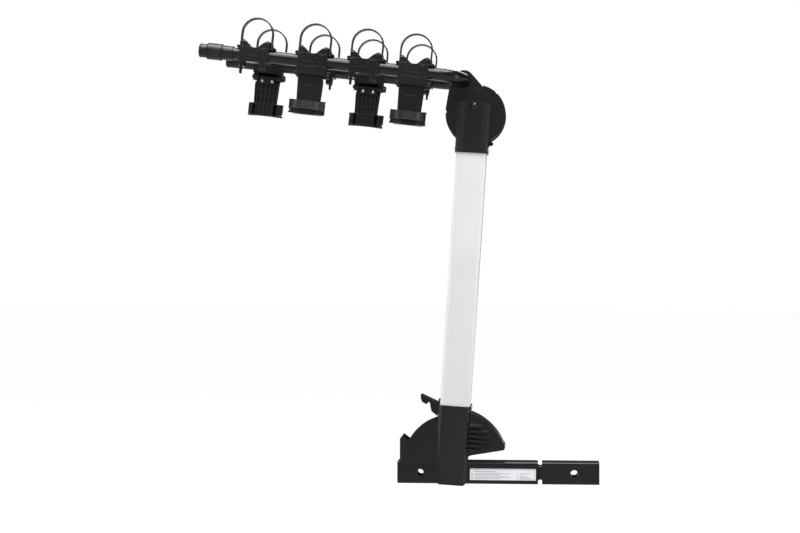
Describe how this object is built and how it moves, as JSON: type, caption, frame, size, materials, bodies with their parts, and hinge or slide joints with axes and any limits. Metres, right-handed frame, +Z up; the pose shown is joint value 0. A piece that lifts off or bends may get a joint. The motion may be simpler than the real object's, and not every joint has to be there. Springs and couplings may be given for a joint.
{
  "type": "hitch mounted bike rack",
  "caption": "Hitch bike rack: leaning silver mast on a square hitch tube, fold-down twin arms with strapped V saddles and hanging anti-sway cradles.",
  "frame": {"origin": "centre of the hitch pin hole, on the centreline of the shank", "axes": "+X along the shank towards the vehicle, +Y along the hitch pin hole, +Z up"},
  "size_m": [0.9074, 0.307, 1.0638],
  "materials": {
    "black_coat": "satin powder coat",
    "silver_aluminium": "satin anodised",
    "black_plastic": "fine moulded texture",
    "strap_rubber": "satin",
    "zinc_steel": "zinc plated",
    "nylon": "natural",
    "label_foil": "silver foil"
  },
  "bodies": {
    "base": {"hitch_tube": "black_coat", "rear_plug": "black_plastic", "hitch_shank": "black_coat", "shank_weld_plate": "black_coat", "adapter_sleeve": "black_coat", "info_label": "label_foil", "quadrant_plate_near": "black_coat", "quadrant_plate_far": "black_coat", "pivot_shaft": "zinc_steel"},
    "mast": {"mast_tube": "silver_aluminium", "mast_fork": "black_plastic", "mast_head": "black_plastic", "fan_guard": "black_plastic", "pivot_bushes": "nylon", "hub_bushes": "nylon", "mast_screws": "zinc_steel", "head_buttons": "black_plastic", "lever_pin": "zinc_steel", "latch_pin": "zinc_steel", "hub_rod": "zinc_steel"},
    "lever": {"tilt_lever": "black_coat", "lock_bar": "zinc_steel"},
    "latch": {"arm_latch": "black_coat", "latch_ball": "black_plastic"},
    "arms": {"bracket_plate_near": "black_coat", "bracket_plate_far": "black_coat", "hub_barrel": "black_coat", "hub_disc_near": "black_plastic", "hub_disc_far": "black_plastic", "arm_tube": "black_coat", "far_end_cap": "black_plastic", "lock_ring": "black_plastic", "sway_pins": "black_plastic", "saddle_near_1": "black_plastic", "saddle_near_2": "black_plastic", "saddle_near_3": "black_plastic", "saddle_near_4": "black_plastic", "saddle_far_1": "black_plastic", "saddle_far_2": "black_plastic", "saddle_far_3": "black_plastic", "saddle_far_4": "black_plastic"},
    "lock_knob": {"lock_barrel": "black_plastic", "lock_cap": "black_plastic"},
    "strap_near_1": {"strap_near_1": "strap_rubber"},
    "strap_near_2": {"strap_near_2": "strap_rubber"},
    "sway_near_2": {"sway_cradle_near_2": "black_plastic"},
    "sway_strap_near_2": {"sway_strap_near_2": "strap_rubber"},
    "strap_near_3": {"strap_near_3": "strap_rubber"},
    "strap_near_4": {"strap_near_4": "strap_rubber"},
    "sway_near_4": {"sway_cradle_near_4": "black_plastic"},
    "sway_strap_near_4": {"sway_strap_near_4": "strap_rubber"},
    "strap_far_1": {"strap_far_1": "strap_rubber"},
    "sway_far_1": {"sway_cradle_far_1": "black_plastic"},
    "sway_strap_far_1": {"sway_strap_far_1": "strap_rubber"},
    "strap_far_2": {"strap_far_2": "strap_rubber"},
    "strap_far_3": {"strap_far_3": "strap_rubber"},
    "sway_far_3": {"sway_cradle_far_3": "black_plastic"},
    "sway_strap_far_3": {"sway_strap_far_3": "strap_rubber"},
    "strap_far_4": {"strap_far_4": "strap_rubber"}
  },
  "joints": [
    {"name": "mast_tilt", "type": "hinge", "parent": "base", "child": "mast", "pos_m": [-0.28, 0, 0.015], "axis": [0, -1, 0], "range_deg": [0, 40]},
    {"name": "lever_lift", "type": "hinge", "parent": "mast", "child": "lever", "pos_m": [-0.27753, 0, 0.14611], "axis": [0, 1, 0], "range_deg": [0, 14], "stiffness_Nm_per_rad": 1.2, "springref_deg": -20.05},
    {"name": "arm_fold", "type": "hinge", "parent": "mast", "child": "arms", "pos_m": [-0.22394, 0, 0.81796], "axis": [0, -1, 0], "range_deg": [0, 86]},
    {"name": "latch_lift", "type": "hinge", "parent": "mast", "child": "latch", "pos_m": [-0.2195, 0, 0.73359], "axis": [0, -1, 0], "range_deg": [0, 10], "stiffness_Nm_per_rad": 0.4, "springref_deg": -20.05},
    {"name": "lock_turn", "type": "hinge", "parent": "arms", "child": "lock_knob", "pos_m": [-0.81627, -0.09, 0.95972], "axis": [0.994, 0, -0.1097], "range_deg": [0, 90]},
    {"name": "strap_open_near_1", "type": "hinge", "parent": "arms", "child": "strap_near_1", "pos_m": [-0.74909, -0.09, 0.98047], "axis": [0, -1, 0], "range_deg": [0, 50]},
    {"name": "strap_open_near_2", "type": "hinge", "parent": "arms", "child": "strap_near_2", "pos_m": [-0.61639, -0.09, 0.96582], "axis": [0, -1, 0], "range_deg": [0, 50]},
    {"name": "sway_swing_near_2", "type": "hinge", "parent": "arms", "child": "sway_near_2", "pos_m": [-0.59283, -0.09, 0.90587], "axis": [0.994, 0, -0.1097], "range_deg": [-25, 25]},
    {"name": "sway_strap_open_near_2", "type": "hinge", "parent": "sway_near_2", "child": "sway_strap_near_2", "pos_m": [-0.6386, -0.107, 0.83668], "axis": [-0.1097, 0, -0.994], "range_deg": [0, 60]},
    {"name": "strap_open_near_3", "type": "hinge", "parent": "arms", "child": "strap_near_3", "pos_m": [-0.49861, -0.09, 0.95282], "axis": [0, -1, 0], "range_deg": [0, 50]},
    {"name": "strap_open_near_4", "type": "hinge", "parent": "arms", "child": "strap_near_4", "pos_m": [-0.38828, -0.09, 0.94064], "axis": [0, -1, 0], "range_deg": [0, 50]},
    {"name": "sway_swing_near_4", "type": "hinge", "parent": "arms", "child": "sway_near_4", "pos_m": [-0.36471, -0.09, 0.88069], "axis": [0.994, 0, -0.1097], "range_deg": [-25, 25]},
    {"name": "sway_strap_open_near_4", "type": "hinge", "parent": "sway_near_4", "child": "sway_strap_near_4", "pos_m": [-0.41048, -0.107, 0.8115], "axis": [-0.1097, 0, -0.994], "range_deg": [0, 60]},
    {"name": "strap_open_far_1", "type": "hinge", "parent": "arms", "child": "strap_far_1", "pos_m": [-0.74412, 0.09, 0.97992], "axis": [0, -1, 0], "range_deg": [0, 50]},
    {"name": "sway_swing_far_1", "type": "hinge", "parent": "arms", "child": "sway_far_1", "pos_m": [-0.72055, 0.09, 0.91998], "axis": [0.994, 0, -0.1097], "range_deg": [-25, 25]},
    {"name": "sway_strap_open_far_1", "type": "hinge", "parent": "sway_far_1", "child": "sway_strap_far_1", "pos_m": [-0.69098, 0.107, 0.84246], "axis": [-0.1097, 0, -0.994], "range_deg": [0, 60]},
    {"name": "strap_open_far_2", "type": "hinge", "parent": "arms", "child": "strap_far_2", "pos_m": [-0.61838, 0.09, 0.96604], "axis": [0, -1, 0], "range_deg": [0, 50]},
    {"name": "strap_open_far_3", "type": "hinge", "parent": "arms", "child": "strap_far_3", "pos_m": [-0.50408, 0.09, 0.95342], "axis": [0, -1, 0], "range_deg": [0, 50]},
    {"name": "sway_swing_far_3", "type": "hinge", "parent": "arms", "child": "sway_far_3", "pos_m": [-0.48051, 0.09, 0.89348], "axis": [0.994, 0, -0.1097], "range_deg": [-25, 25]},
    {"name": "sway_strap_open_far_3", "type": "hinge", "parent": "sway_far_3", "child": "sway_strap_far_3", "pos_m": [-0.45094, 0.107, 0.81596], "axis": [-0.1097, 0, -0.994], "range_deg": [0, 60]},
    {"name": "strap_open_far_4", "type": "hinge", "parent": "arms", "child": "strap_far_4", "pos_m": [-0.38828, 0.09, 0.94064], "axis": [0, -1, 0], "range_deg": [0, 50]}
  ]
}
